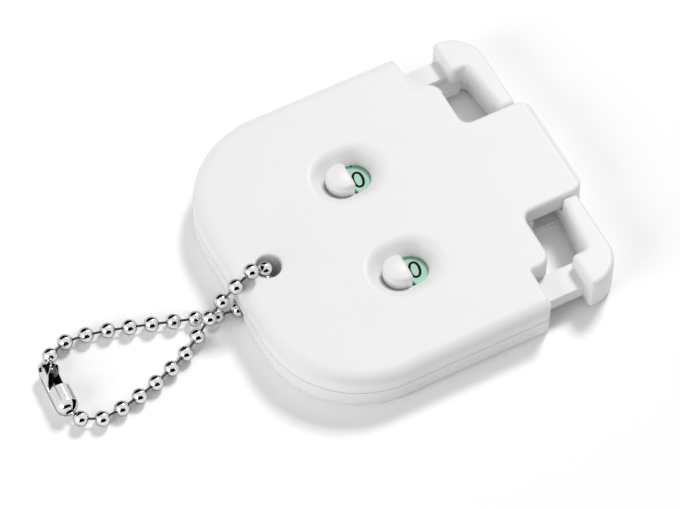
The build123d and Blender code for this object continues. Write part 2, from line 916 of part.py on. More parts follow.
top_cover.part.label = "top_cover"
export_step(top_cover.part, "parts/top_cover.step")
bottom_cover.part.label = "bottom_cover"
export_step(bottom_cover.part, "parts/bottom_cover.step")
case_screws.part.label = "case_screws"
export_step(case_screws.part, "parts/case_screws.step")
chain_beads.part.label = "chain_beads"
export_step(chain_beads.part, "parts/chain_beads.step")
chain_links.part.label = "chain_links"
export_step(chain_links.part, "parts/chain_links.step")
chain_coupling.part.label = "chain_coupling"
export_step(chain_coupling.part, "parts/chain_coupling.step")

paired = {
    "lever": lever,
    "drive_pawl": drive_pawl,
    "lever_spring": lever_spring,
    "dial": dial,
    "dial_axle": axle,
    "dial_spring": spiral_spring,
    "holding_pawl": holding_pawl,
    "reset_button": reset_button,
    "button_spring": button_spring,
}
for name, piece in paired.items():
    piece.part.label = f"player_1_{name}"
    export_step(piece.part, f"parts/player_1_{name}.step")
    with BuildPart() as twin:
        mirror(piece.part, about=Plane.XZ)
    twin.part.label = f"player_2_{name}"
    export_step(twin.part, f"parts/player_2_{name}.step")
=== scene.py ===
# %% [markdown]
# A pocket stroke counter for two golfers. A flat white moulded case holds two
# counting dials. Each has a push lever at the right end and a reset button in
# its window, and a ball chain hangs from a hole at the left end. The moving
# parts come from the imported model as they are. This lesson gives them their
# finishes, prints the numbers, makes the chain anew and winds the springs.

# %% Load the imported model
import math

import bmesh
import bpy
from mathutils import Matrix, Vector


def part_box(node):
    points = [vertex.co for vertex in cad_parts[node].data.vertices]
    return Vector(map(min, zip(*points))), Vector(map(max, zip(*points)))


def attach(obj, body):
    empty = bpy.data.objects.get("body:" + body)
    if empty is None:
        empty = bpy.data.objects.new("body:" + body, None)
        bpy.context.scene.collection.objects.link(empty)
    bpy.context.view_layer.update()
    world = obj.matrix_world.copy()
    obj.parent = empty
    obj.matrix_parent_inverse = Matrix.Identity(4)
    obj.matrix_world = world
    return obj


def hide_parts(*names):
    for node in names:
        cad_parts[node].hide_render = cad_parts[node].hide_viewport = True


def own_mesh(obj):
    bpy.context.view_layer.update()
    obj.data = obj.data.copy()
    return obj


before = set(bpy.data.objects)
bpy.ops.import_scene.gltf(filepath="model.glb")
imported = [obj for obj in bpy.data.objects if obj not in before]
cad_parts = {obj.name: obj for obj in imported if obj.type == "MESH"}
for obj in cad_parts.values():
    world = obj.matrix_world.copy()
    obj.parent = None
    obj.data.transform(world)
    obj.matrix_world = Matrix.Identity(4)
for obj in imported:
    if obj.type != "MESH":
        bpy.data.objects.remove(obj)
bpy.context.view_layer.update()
scene = bpy.context.scene
scene.view_settings.view_transform = "Standard"
mm = 0.001
print("nodes:", sorted(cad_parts))

# %% [markdown]
# The camera comes first, because everything after it is judged through it. The
# photograph looks down at the counter from player 2's side, a little from its
# chain end, through a long lens. A camera is placed by an aim point, two angles
# and a distance, so that each of these can be read and changed by itself.

# %% Camera
view_azimuth = math.radians(27.484)
view_elevation = math.radians(57.237)
view_roll = math.radians(0.089)
view_distance = 545.7 * mm
aim = Vector((-10.374 * mm, -1.063 * mm, 3.5 * mm))
lens_mm = 189.5
sensor_mm = 36
nearest_seen = 0.01


def add_object(name, data):
    """A new object in the scene that holds this data."""
    thing = bpy.data.objects.new(name, data)
    scene.collection.objects.link(thing)
    return thing


def place_camera():
    """A camera at the photograph's angle, with its small roll."""
    forward = Vector((
        math.sin(view_azimuth) * math.cos(view_elevation),
        math.cos(view_azimuth) * math.cos(view_elevation),
        -math.sin(view_elevation),
    ))
    right = Vector((math.cos(view_azimuth), -math.sin(view_azimuth), 0))
    up = right.cross(forward)
    turned_right = right * math.cos(view_roll) + up * math.sin(view_roll)
    turned_up = up * math.cos(view_roll) - right * math.sin(view_roll)
    turn = Matrix((turned_right, turned_up, -forward)).transposed().to_4x4()
    camera = add_object("camera", bpy.data.cameras.new("camera"))
    camera.matrix_world = Matrix.Translation(aim - forward * view_distance) @ turn
    camera.data.lens = lens_mm
    camera.data.sensor_width = sensor_mm
    camera.data.clip_start = nearest_seen
    scene.camera = camera
    return camera


camera = place_camera()
print("camera at", [round(v, 3) for v in camera.location])

# %% [markdown]
# Metal and plastic show their surroundings. A product photograph is lit by
# soft boxes over a white sweep, and black cards beside the set give the shiny
# balls their dark lines. A plain pale floor and two cards do the same here.
# The floor looks a little whiter than the light that it throws back, and only
# shiny surfaces see the cards, so neither upsets the plain light.

# %% Paper floor
floor_half = 2.0
floor_z = -0.02 * mm
floor_corners = [
    (-floor_half, -floor_half, floor_z),
    (floor_half, -floor_half, floor_z),
    (floor_half, floor_half, floor_z),
    (-floor_half, floor_half, floor_z),
]
paper_tone = 0.92
paper_seen_tone = 1.05


def stage_sheet(name, corners, material):
    """A flat sheet beside the object that is no part of it."""
    mesh = bpy.data.meshes.new(name)
    mesh.from_pydata(corners, [], [(0, 1, 2, 3)])
    mesh.materials.append(material)
    add_object(name, mesh)


def node_tree(material):
    """An empty node tree, its links and its output node."""
    material.use_nodes = True
    nodes = material.node_tree.nodes
    nodes.clear()
    return nodes, material.node_tree.links, nodes.new("ShaderNodeOutputMaterial")


def seen_rays(nodes, links):
    """One for the camera, for reflections and for light through a clear part, else nought."""
    path = nodes.new("ShaderNodeLightPath")
    seen = path.outputs["Is Camera Ray"]
    for kind in ("Is Glossy Ray", "Is Transmission Ray"):
        either = nodes.new("ShaderNodeMath")
        either.operation = "MAXIMUM"
        links.new(seen, either.inputs[0])
        links.new(path.outputs[kind], either.inputs[1])
        seen = either.outputs[0]
    return seen


def grey(tone):
    """A grey colour of one tone."""
    return (tone, tone, tone, 1)


def make_floor_material():
    """Matt white paper that looks whiter than the light it throws back at the object."""
    material = bpy.data.materials.new("white_paper")
    nodes, links, output = node_tree(material)
    paper = nodes.new("ShaderNodeBsdfDiffuse")
    tone = nodes.new("ShaderNodeMix")
    tone.data_type = "RGBA"
    tone.inputs["A"].default_value = grey(paper_tone)
    tone.inputs["B"].default_value = grey(paper_seen_tone)
    links.new(seen_rays(nodes, links), tone.inputs["Factor"])
    links.new(tone.outputs["Result"], paper.inputs["Color"])
    links.new(paper.outputs[0], output.inputs["Surface"])
    return material


white_paper = make_floor_material()
stage_sheet("floor", floor_corners, white_paper)
print("floor of", white_paper.name)

# %% Black cards
card_tone = 0.004


def make_card_material():
    """Black card that only shiny surfaces see, so that it takes no light from the rest."""
    material = bpy.data.materials.new("black_card")
    nodes, links, output = node_tree(material)
    card = nodes.new("ShaderNodeBsdfDiffuse")
    card.inputs["Color"].default_value = grey(card_tone)
    clear = nodes.new("ShaderNodeBsdfTransparent")
    path = nodes.new("ShaderNodeLightPath")
    mix = nodes.new("ShaderNodeMixShader")
    links.new(path.outputs["Is Glossy Ray"], mix.inputs[0])
    links.new(clear.outputs[0], mix.inputs[1])
    links.new(card.outputs[0], mix.inputs[2])
    links.new(mix.outputs[0], output.inputs["Surface"])
    return material


def upright_corners(turn, distance, width, low, high):
    """Corners of an upright card in metres, its turn in degrees from the view's direction."""
    angle = view_azimuth + math.radians(turn)
    out = Vector((math.sin(angle), math.cos(angle), 0))
    across = Vector((math.cos(angle), -math.sin(angle), 0)) * (width / 2)
    middle = Vector((aim.x, aim.y, 0)) + out * distance
    up = Vector((0, 0, 1))
    return [
        middle - across + up * low,
        middle + across + up * low,
        middle + across + up * high,
        middle - across + up * high,
    ]


near_corners = upright_corners(turn=164, distance=0.30, width=0.50, low=0.03, high=0.46)
far_corners = upright_corners(turn=-25, distance=0.45, width=1.00, low=0.02, high=0.72)
black_card = make_card_material()
stage_sheet("card_near", near_corners, black_card)
stage_sheet("card_far", far_corners, black_card)
print("two cards of", black_card.name)

# %% [markdown]
# A soft box is a lamp with a wide face, so its shadows have soft edges. The
# key lamp stands behind the object on the right, and its shadow falls towards
# the camera. A weaker lamp at the chain's end lights the rounded wall there.
# The world gives an even fill, faintly warm as in the photograph's shade.

# %% Light
fill_colour = (1.0, 0.968, 0.962, 1)
shine_colour = (1, 1, 1, 1)


def light_world(fill_strength, shine_strength):
    """Even fill from all round, of another strength where the camera or a shine sees it."""
    world = bpy.data.worlds.new("studio")
    scene.world = world
    world.use_nodes = True
    nodes, links = world.node_tree.nodes, world.node_tree.links
    nodes.clear()
    output = nodes.new("ShaderNodeOutputWorld")
    mix = nodes.new("ShaderNodeMixShader")
    links.new(seen_rays(nodes, links), mix.inputs[0])
    skies = ((fill_colour, fill_strength), (shine_colour, shine_strength))
    for i, (colour, strength) in enumerate(skies):
        sky = nodes.new("ShaderNodeBackground")
        sky.inputs["Color"].default_value = colour
        sky.inputs["Strength"].default_value = strength
        links.new(sky.outputs[0], mix.inputs[i + 1])
    links.new(mix.outputs[0], output.inputs["Surface"])


def soft_box(name, place, size, power):
    """A square area lamp aimed at the object."""
    lamp = add_object(name, bpy.data.lights.new(name, "AREA"))
    lamp.data.shape = "SQUARE"
    lamp.data.size = size
    lamp.data.energy = power
    lamp.location = place
    lamp.rotation_euler = (-Vector(place)).to_track_quat("-Z", "Y").to_euler()


light_world(fill_strength=0.37, shine_strength=0.95)
soft_box("key", place=(0.46, 0.34, 0.70), size=0.22, power=4.65)
soft_box("side", place=(-0.55, -0.12, 0.26), size=0.35, power=1.7)

# %% [markdown]
# A moulded plastic face is never quite even. The steel mould leaves a fine
# grain, the cooling leaves broad soft waves, and the gloss varies a little
# with both. The same effect is wanted on the white case and on the green
# dials, so it is one node group with named inputs, used by both with their own
# values. Noise on Object coordinates keeps it fixed to the part.

# %% Shared effect: moulded skin
wave_detail = 2.0
grain_detail = 3.0
grain_height = 0.00002


def new_skin(name, inputs):
    """A shader group with named inputs that puts out a colour, a roughness and a normal."""
    group = bpy.data.node_groups.new(name, "ShaderNodeTree")
    for socket, value in inputs.items():
        kind = "NodeSocketColor" if isinstance(value, tuple) else "NodeSocketFloat"
        item = group.interface.new_socket(socket, in_out="INPUT", socket_type=kind)
        item.default_value = value
    for socket, kind in (("Color", "Color"), ("Roughness", "Float"), ("Normal", "Vector")):
        group.interface.new_socket(socket, in_out="OUTPUT", socket_type="NodeSocket" + kind)
    return group, group.nodes.new("NodeGroupInput"), group.nodes.new("NodeGroupOutput")


def add_noise(group, place, scale, detail):
    """A noise value at a place, with its scale from a socket."""
    noise = group.nodes.new("ShaderNodeTexNoise")
    noise.inputs["Detail"].default_value = detail
    group.links.new(place, noise.inputs["Vector"])
    group.links.new(scale, noise.inputs["Scale"])
    return noise.outputs[0]


def end_skin(group, given, result, tone_by, rough_by, relief_by, relief_height):
    """A skin's last nodes. One noise leads the tone, one the roughness, one the relief."""
    nodes, links = group.nodes, group.links
    tones = nodes.new("ShaderNodeMix")
    tones.data_type = "RGBA"
    links.new(tone_by, tones.inputs["Factor"])
    links.new(given.outputs["Light tone"], tones.inputs["A"])
    links.new(given.outputs["Dark tone"], tones.inputs["B"])
    rough = nodes.new("ShaderNodeMapRange")
    links.new(rough_by, rough.inputs["Value"])
    links.new(given.outputs["Smoothest"], rough.inputs["To Min"])
    links.new(given.outputs["Roughest"], rough.inputs["To Max"])
    bump = nodes.new("ShaderNodeBump")
    bump.inputs["Distance"].default_value = relief_height
    links.new(given.outputs["Relief"], bump.inputs["Strength"])
    links.new(relief_by, bump.inputs["Height"])
    links.new(tones.outputs["Result"], result.inputs["Color"])
    links.new(rough.outputs["Result"], result.inputs["Roughness"])
    links.new(bump.outputs[0], result.inputs["Normal"])


def make_moulded_skin():
    """Broad waves in the tone, and a fine grain in the gloss and the relief."""
    inputs = {
        "Light tone": (1.0, 1.0, 1.0, 1.0),
        "Dark tone": (0.9, 0.9, 0.9, 1.0),
        "Grain per metre": 9000.0,
        "Waves per metre": 120.0,
        "Relief": 0.05,
        "Smoothest": 0.3,
        "Roughest": 0.4,
    }
    group, given, result = new_skin("moulded_skin", inputs)
    place = group.nodes.new("ShaderNodeTexCoord").outputs["Object"]
    waves = add_noise(group, place, given.outputs["Waves per metre"], wave_detail)
    grain = add_noise(group, place, given.outputs["Grain per metre"], grain_detail)
    end_skin(group, given, result, waves, grain, grain, grain_height)
    return group


moulded_skin = make_moulded_skin()
print("group", moulded_skin.name, "has", len(moulded_skin.nodes), "nodes")

# %% Plastic finishes
plastic_gloss = 0.4
plastic_ior = 1.49


def skinned(name, skin, light, dark, roughness, relief):
    """A material that takes its colour, roughness and normal from a skin, and its shader."""
    material = bpy.data.materials.new(name)
    nodes, links, output = node_tree(material)
    shader = nodes.new("ShaderNodeBsdfPrincipled")
    group = nodes.new("ShaderNodeGroup")
    group.node_tree = skin
    group.inputs["Light tone"].default_value = (*light, 1)
    group.inputs["Dark tone"].default_value = (*dark, 1)
    group.inputs["Smoothest"].default_value = roughness[0]
    group.inputs["Roughest"].default_value = roughness[1]
    group.inputs["Relief"].default_value = relief
    links.new(group.outputs["Color"], shader.inputs["Base Color"])
    links.new(group.outputs["Roughness"], shader.inputs["Roughness"])
    links.new(group.outputs["Normal"], shader.inputs["Normal"])
    links.new(shader.outputs[0], output.inputs["Surface"])
    return material, shader


def plastic(name, light, dark, roughness, relief=0.05):
    """A moulded plastic with the shared skin."""
    material, shader = skinned(name, moulded_skin, light, dark, roughness, relief)
    shader.inputs["Specular IOR Level"].default_value = plastic_gloss
    shader.inputs["IOR"].default_value = plastic_ior
    return material


white_case = plastic(
    "white_case_plastic",
    light=(0.87, 0.865, 0.875),
    dark=(0.85, 0.845, 0.855),
    roughness=(0.38, 0.48),
)
white_key = plastic(
    "white_key_plastic",
    light=(0.86, 0.855, 0.86),
    dark=(0.845, 0.84, 0.85),
    roughness=(0.34, 0.44),
)
green_dial = plastic(
    "green_dial_plastic",
    light=(0.43, 0.72, 0.57),
    dark=(0.40, 0.68, 0.53),
    roughness=(0.42, 0.55),
    relief=0.08,
)
print("plastics:", white_case.name, white_key.name, green_dial.name)

# %% [markdown]
# The chain, its coupling, the axles, springs and screws are metal. Plated
# balls are almost mirrors, with fine hairlines from tumbling. Turned pins and
# spring strip are duller. One group gives smudges in the tone and the gloss
# and long hairlines in the relief, and each metal takes its own amounts.

# %% Shared effect: worn metal
smudge_detail = 4.0
hairline_detail = 2.0
hairline_stretch = (1.0, 0.12, 0.5)
hairline_height = 0.00001


def make_metal_skin():
    """Smudges in the tone and the gloss, and stretched hairlines in the relief."""
    inputs = {
        "Light tone": (0.7, 0.7, 0.7, 1.0),
        "Dark tone": (0.6, 0.6, 0.6, 1.0),
        "Smudges per metre": 700.0,
        "Hairlines per metre": 5000.0,
        "Relief": 0.04,
        "Smoothest": 0.06,
        "Roughest": 0.16,
    }
    group, given, result = new_skin("metal_skin", inputs)
    place = group.nodes.new("ShaderNodeTexCoord").outputs["Object"]
    smudges = add_noise(group, place, given.outputs["Smudges per metre"], smudge_detail)
    stretch = group.nodes.new("ShaderNodeMapping")
    stretch.inputs["Scale"].default_value = hairline_stretch
    group.links.new(place, stretch.inputs["Vector"])
    scale = given.outputs["Hairlines per metre"]
    hairlines = add_noise(group, stretch.outputs[0], scale, hairline_detail)
    end_skin(group, given, result, smudges, smudges, hairlines, hairline_height)
    return group


metal_skin = make_metal_skin()
print("group", metal_skin.name, "has", len(metal_skin.nodes), "nodes")

# %% Metal finishes
def metal(name, light, dark, roughness, relief, edge_tone=1.0):
    """A metal with the shared skin. A low edge tone darkens it where it curves away."""
    material, shader = skinned(name, metal_skin, light, dark, roughness, relief)
    shader.inputs["Metallic"].default_value = 1.0
    shader.inputs["Specular Tint"].default_value = grey(edge_tone)
    return material


nickel = metal(
    "nickel_plate",
    light=(0.80, 0.79, 0.78),
    dark=(0.72, 0.71, 0.70),
    roughness=(0.05, 0.13),
    relief=0.05,
    # The low edge tone paints a darker reflection round the rim of each ball.
    edge_tone=0.25,
)
# Painted shade: a dark copy of the nickel plate, for the wires between the balls, the inside
# of the coupling and the balls shut in it.
shaded_nickel = metal(
    "shaded_nickel_plate",
    light=(0.13, 0.125, 0.12),
    dark=(0.07, 0.067, 0.065),
    roughness=(0.16, 0.30),
    relief=0.05,
)
turned_steel = metal(
    "turned_steel",
    light=(0.60, 0.60, 0.62),
    dark=(0.50, 0.50, 0.52),
    roughness=(0.22, 0.36),
    relief=0.2,
)
spring_steel = metal(
    "bright_spring_steel",
    light=(0.50, 0.50, 0.53),
    dark=(0.40, 0.40, 0.43),
    roughness=(0.18, 0.30),
    relief=0.15,
)
print("metals:", nickel.name, shaded_nickel.name, turned_steel.name, spring_steel.name)

# %% [markdown]
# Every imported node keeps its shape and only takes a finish. A node's name ends
# in the word for what it is, as in the spring of a lever, so the word that
# stands last in the name chooses the finish.

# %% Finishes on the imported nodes
finishes = {
    "cover": white_case,
    "lever": white_key,
    "reset_button": white_key,
    "dial": green_dial,
    "screws": turned_steel,
    "axle": turned_steel,
    "spring": spring_steel,
    "pawl": spring_steel,
    "chain": nickel,
}


def finish_of(node):
    """The finish whose word stands last in the node's name."""
    return finishes[max(finishes, key=node.rfind)]


for name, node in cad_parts.items():
    node.data.materials.clear()
    node.data.materials.append(finish_of(name))
    print(name, "is", node.data.materials[0].name)

# %% [markdown]
# Each dial is printed with the ten numbers, spaced a tenth of a turn apart, so
# that one shows in the window at a time. A press of the lever turns the dial
# by one number. Text objects give the numbers their outlines. They are made
# into one thin mesh that lies on the dial like ink and turns with it.

# %% One printed figure
number_height = 3.05 * mm
number_width = 1.95 * mm
ink_thickness = 0.012 * mm


def plain_mesh(thing):
    """The mesh of an object, with its curve, text or modifiers worked out."""
    bpy.context.view_layer.update()
    graph = bpy.context.evaluated_depsgraph_get()
    return bpy.data.meshes.new_from_object(thing.evaluated_get(graph))


def figure_mesh(figure):
    """One figure as a solid mesh about the middle of its box, and the box's size."""
    words = bpy.data.curves.new("figure", "FONT")
    words.body = str(figure)
    words.size = 1.0
    words.extrude = 0.5
    holder = add_object("figure", words)
    mesh = plain_mesh(holder)
    bpy.data.objects.remove(holder)
    low = Vector([min(v.co[i] for v in mesh.vertices) for i in range(3)])
    high = Vector([max(v.co[i] for v in mesh.vertices) for i in range(3)])
    mesh.transform(Matrix.Translation(-(low + high) / 2))
    return mesh, high - low


zero_size = figure_mesh(0)[1]
print_scale = Matrix.Diagonal((
    number_width / zero_size.x,
    number_height / zero_size.y,
    ink_thickness / zero_size.z,
    1,
))
print("figures scaled by", [round(print_scale[i][i], 6) for i in range(3)])

# %% Ink
ink_gloss = 0.06
ink_spots_per_metre = 4000
ink_tones = (0.001, 0.004)
ink_roughness = (0.35, 0.6)


def make_ink():
    """Black pad-printing ink, a little thinner in places."""
    material = bpy.data.materials.new("printing_ink")
    nodes, links, output = node_tree(material)
    shader = nodes.new("ShaderNodeBsdfPrincipled")
    shader.inputs["Specular IOR Level"].default_value = ink_gloss
    place = nodes.new("ShaderNodeTexCoord")
    cloud = nodes.new("ShaderNodeTexNoise")
    cloud.inputs["Scale"].default_value = ink_spots_per_metre
    links.new(place.outputs["Object"], cloud.inputs["Vector"])
    for target, (low, high) in (("Base Color", ink_tones), ("Roughness", ink_roughness)):
        ramp = nodes.new("ShaderNodeMapRange")
        ramp.inputs["To Min"].default_value = low
        ramp.inputs["To Max"].default_value = high
        links.new(cloud.outputs[0], ramp.inputs["Value"])
        links.new(ramp.outputs[0], shader.inputs[target])
    links.new(shader.outputs[0], output.inputs["Surface"])
    return material


printing_ink = make_ink()
print("ink", printing_ink.name, "made")

# %% Numbers on the dials
positions = 10
dial_centre_x = 4.4 * mm
dial_centre_y = 9.4 * mm
dial_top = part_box("player_1_dial")[1][2]
number_radius = 6.26 * mm
number_lean = math.radians(12)
print_turn = math.radians(1.2)
figure_merge = 1e-7


def print_numbers(side):
    """The ten figures of one dial as a single mesh on its top face."""
    middle = (dial_centre_x, side * dial_centre_y, dial_top + ink_thickness / 2)
    whole = bmesh.new()
    for figure in range(positions):
        turn = side * (print_turn - figure * 2 * math.pi / positions)
        mesh = figure_mesh(figure)[0]
        mesh.transform(Matrix.Rotation(-number_lean, 4, "Z") @ print_scale)
        mesh.transform(Matrix.Translation((-number_radius, 0, 0)))
        mesh.transform(Matrix.Rotation(turn, 4, "Z"))
        mesh.transform(Matrix.Translation(middle))
        whole.from_mesh(mesh)
        bpy.data.meshes.remove(mesh)
    bmesh.ops.remove_doubles(whole, verts=whole.verts, dist=figure_merge)
    bmesh.ops.recalc_face_normals(whole, faces=whole.faces)
    result = bpy.data.meshes.new("numbers")
    whole.to_mesh(result)
    whole.free()
    return result


for player, side in ((1, 1), (2, -1)):
    numbers = add_object(f"player_{player}_numbers", print_numbers(side))
    numbers.data.materials.append(printing_ink)
    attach(numbers, f"dial_{player}")
    print(numbers.name, len(numbers.data.polygons), "faces")

# %% [markdown]
# The ball chain is a row of hollow balls joined by short dumb-bell wires. It
# rises out of its hole, drops over the end of the case, lies on the table in a
# loop and comes back under the case. Its line is one smooth curve through the
# air and along the table. The balls and wires are the same over and over, so
# Geometry Nodes set them on a skeleton: a ball on each point, a wire on each
# edge.

# %% Line of the chain
hole_x = -22.0
table_z = 1.23
coupling_z = 1.79
chain_route = [
    (-0.5, -0.1, 3.8),
    (-0.2, -0.2, 7.9),
    (-3.4, -0.7, 9.2),
    (-6.3, -1.5, 7.8),
    (-8.5, -1.3, 5.5),
    (-10.5, -1.85, 3.8),
    (-12.9, -2.5, 1.5),
    (-16.0, -4.7, table_z),
    (-20.8, -6.8, table_z),
    (-26.2, -8.5, table_z),
    (-31.6, -9.5, table_z),
    (-34.8, -9.0, table_z),
    (-36.3, -6.2, coupling_z),
    (-36.5, -1.9, coupling_z),
    (-36.1, 2.2, coupling_z),
    (-34.6, 4.7, table_z),
    (-31.4, 5.6, table_z),
    (-26.6, 4.7, table_z),
    (-21.4, 3.1, table_z),
    (-15.6, 1.1, table_z),
    (-10.6, -0.6, table_z),
    (-6.4, -1.8, table_z),
    (-2.7, -1.0, table_z),
]
line_steps = 24


def chain_line():
    """Points close together along the chain's smooth line, in metres."""
    curve = bpy.data.curves.new("chain_line", "CURVE")
    curve.dimensions = "3D"
    curve.resolution_u = line_steps
    spline = curve.splines.new("NURBS")
    spline.points.add(len(chain_route) - 1)
    for point, (x, y, z) in zip(spline.points, chain_route):
        point.co = ((hole_x + x) * mm, y * mm, z * mm, 1)
    spline.order_u = 3
    spline.use_endpoint_u = True
    holder = add_object("chain_line", curve)
    points = [v.co.copy() for v in plain_mesh(holder).vertices]
    bpy.data.objects.remove(holder)
    return points


line = chain_line()
reach = [0.0]
for before, here in zip(line, line[1:]):
    reach.append(reach[-1] + (here - before).length)
chain_length = reach[-1]
print("chain line", round(chain_length / mm, 2), "mm in", len(line), "points")

# %% Places of the balls
ball_count = 27
last_before_coupling = 14
coupling_ball_gap = 6.0 * mm


def along_line(distance):
    """The point of the chain's line at a distance from its start."""
    for i in range(1, len(line)):
        if reach[i] >= distance:
            share = (distance - reach[i - 1]) / (reach[i] - reach[i - 1])
            return line[i - 1].lerp(line[i], share)
    return line[-1].copy()


pitch = (chain_length - coupling_ball_gap) / (ball_count - 2)
distances = [
    i * pitch if i <= last_before_coupling else (i - 1) * pitch + coupling_ball_gap
    for i in range(ball_count)
]
balls = [along_line(d) for d in distances]
wires = [(i, i + 1) for i in range(ball_count - 1) if i != last_before_coupling]
wires.append((ball_count - 1, 0))
print("ball pitch", round(pitch / mm, 3), "mm")

# %% [markdown]
# A ball is pressed from sheet, so it is hollow, with a lip rolled in at each
# hole and a fine seam. Its profile, outside and inside, is one closed ring of
# points turned about the chain's line. A wire is a thin rod whose round heads
# sit inside two balls. Both are copied many times, so they have few faces.

# %% One ball
ball_radius = 1.2 * mm
ball_wall = 0.25 * mm
ball_hole = 0.3 * mm
lip_round = 0.07 * mm
outer_steps = 11
inner_steps = 6
ball_sides = 26
seam_turn = 0.035
seam_pull = 0.985


def smooth_mesh(shape, name):
    """A smooth mesh from a bmesh, with its faces turned outwards."""
    bmesh.ops.recalc_face_normals(shape, faces=shape.faces)
    for face in shape.faces:
        face.smooth = True
    mesh = bpy.data.meshes.new(name)
    shape.to_mesh(mesh)
    shape.free()
    return mesh


def turned_ring(shape, profile, angle, pull=1.0):
    """The profile's (radius, height) points at one angle about Z, drawn in by a pull."""
    return [
        shape.verts.new((r * pull * math.cos(angle), r * pull * math.sin(angle), z))
        for r, z in profile
    ]


def ball_profile():
    """A closed ring of (radius, height) points: outside, lip, inside and lip."""
    outer, inner = ball_radius, ball_radius - ball_wall
    start = math.asin((ball_hole + lip_round) / outer)
    low = math.asin(ball_hole / inner)
    edge_z = outer * math.cos(start) - lip_round
    profile = []
    for i in range(outer_steps + 1):
        turn = start + (math.pi - 2 * start) * i / outer_steps
        profile.append((outer * math.sin(turn), outer * math.cos(turn)))
    profile.append((ball_hole, -edge_z))
    for i in range(inner_steps + 1):
        turn = math.pi - low - (math.pi - 2 * low) * i / inner_steps
        profile.append((inner * math.sin(turn), inner * math.cos(turn)))
    profile.append((ball_hole, edge_z))
    return profile


def ball_mesh():
    """A hollow ball: its profile turned about Z, drawn in a little at the seam."""
    turns = [2 * math.pi * (i + 0.5) / ball_sides for i in range(ball_sides)]
    angles = [(-seam_turn, 1.0), (0.0, seam_pull), (seam_turn, 1.0)]
    angles += [(turn, 1.0) for turn in turns if seam_turn < turn < 2 * math.pi - seam_turn]
    profile = ball_profile()
    shape = bmesh.new()
    rings = [turned_ring(shape, profile, angle, pull) for angle, pull in angles]
    for ring, following in zip(rings, rings[1:] + rings[:1]):
        for j in range(len(profile)):
            k = (j + 1) % len(profile)
            shape.faces.new((ring[j], following[j], following[k], ring[k]))
    return smooth_mesh(shape, "ball")


ball_shape = ball_mesh()
print("ball", len(ball_shape.polygons), "faces")

# %% One wire
wire_radius = 0.19 * mm
wire_head = 0.36 * mm
wire_head_out = 0.5 * mm
head_top = math.radians(88)
head_foot = math.radians(-58)
head_steps = 6
neck_share = 0.9
wire_sides = 10


def wire_mesh():
    """A dumb-bell wire for one pitch along Z, with a round head at each end."""
    half = pitch / 2 - wire_head_out
    upper = []
    for i in range(head_steps):
        lift = head_top + (head_foot - head_top) * i / (head_steps - 1)
        upper.append((wire_head * math.cos(lift), half + wire_head * math.sin(lift)))
    upper.append((wire_radius, half - wire_head * neck_share))
    outline = upper + [(r, -z) for r, z in reversed(upper)]
    shape = bmesh.new()
    rings = [
        turned_ring(shape, outline, 2 * math.pi * i / wire_sides) for i in range(wire_sides)
    ]
    for ring, following in zip(rings, rings[1:] + rings[:1]):
        for j in range(len(outline) - 1):
            shape.faces.new((ring[j], following[j], following[j + 1], ring[j + 1]))
    shape.faces.new([ring[0] for ring in rings])
    shape.faces.new([ring[-1] for ring in rings])
    return smooth_mesh(shape, "wire")


wire_shape = wire_mesh()
# The wires take the painted shade that falls between the balls.
wire_shape.materials.append(shaded_nickel)
print("wire", len(wire_shape.polygons), "faces")

# %% [markdown]
# The coupling is one piece of thin plated sheet rolled into a tube. Its ends
# are drawn in round the chain's wires, a seam runs along it, and its far half
# is open on one side so that the last ball can be slipped in. A grid of points
# round a tube, with the open side left out and the sheet's thickness added
# after, gives just that, with true edges to catch the light.

# %% Coupling's sheet
coupling_length = 9.2 * mm
coupling_radius = 1.73 * mm
coupling_neck = 0.62 * mm
end_round = 1.45 * mm
seam_half = math.radians(5)
notch_half = math.radians(20)
notch_end = 0.13
hollow_right = math.radians(80)
hollow_left = math.radians(128)
hollow_start = 0.46
hollow_end = 0.93
hollow_taper = 0.8
pleat_start = 0.62
pleat_count = 9
pleat_depth = 0.26
coupling_rows = 46
coupling_columns = 48
step_half = 0.002


def coupling_profile(share):
    """Radius of the rolled sheet at a share of its length, drawn in at both ends."""
    along = share * coupling_length
    from_end = min(along, coupling_length - along)
    if from_end >= end_round:
        return coupling_radius
    rise = math.sqrt(max(0.0, 1 - (1 - from_end / end_round) ** 2))
    return coupling_neck + (coupling_radius - coupling_neck) * rise


def coupling_opening(share):
    """Angles left open each side of +X: a seam, a slot at one end and the hollow side."""
    if share < notch_end:
        return notch_half, notch_half
    if share < hollow_start or share > hollow_end:
        return seam_half, seam_half
    along = (share - hollow_start) / (hollow_end - hollow_start)
    right = seam_half + (hollow_right - seam_half) * math.sqrt(1 - along**2)
    left = seam_half + (hollow_left - seam_half) * (1 - along) ** hollow_taper
    return right, left


def coupling_pleats(share, turn):
    """Share of the plain roll's radius left where the far end is gathered in folds."""
    gathered = max(0.0, (share - pleat_start) / (1 - pleat_start))
    return 1 - pleat_depth * gathered * (1 - math.cos(pleat_count * turn)) / 2


def coupling_mesh():
    """The rolled sheet about Z, its open side about +X."""
    shares = [i / coupling_rows for i in range(coupling_rows + 1)]
    for step in (notch_end, hollow_start):
        shares += [step - step_half, step + step_half]
    shape = bmesh.new()
    grid = []
    for share in sorted(shares):
        right, left = coupling_opening(share)
        row = []
        for j in range(coupling_columns + 1):
            turn = right + (2 * math.pi - right - left) * j / coupling_columns
            r = coupling_profile(share) * coupling_pleats(share, turn)
            place = (r * math.cos(turn), r * math.sin(turn), share * coupling_length)
            row.append(shape.verts.new(place))
        grid.append(row)
    for lower, upper in zip(grid, grid[1:]):
        for j in range(coupling_columns):
            shape.faces.new((lower[j], lower[j + 1], upper[j + 1], upper[j]))
    return smooth_mesh(shape, "coupling")


coupling = add_object("coupling", coupling_mesh())
print("coupling", len(coupling.data.polygons), "faces before its thickness")

# %% Coupling in its place
coupling_sheet = 0.24 * mm
coupling_edge = 0.04 * mm
coupling_facing = Vector((0.71, -0.37, 0.60))

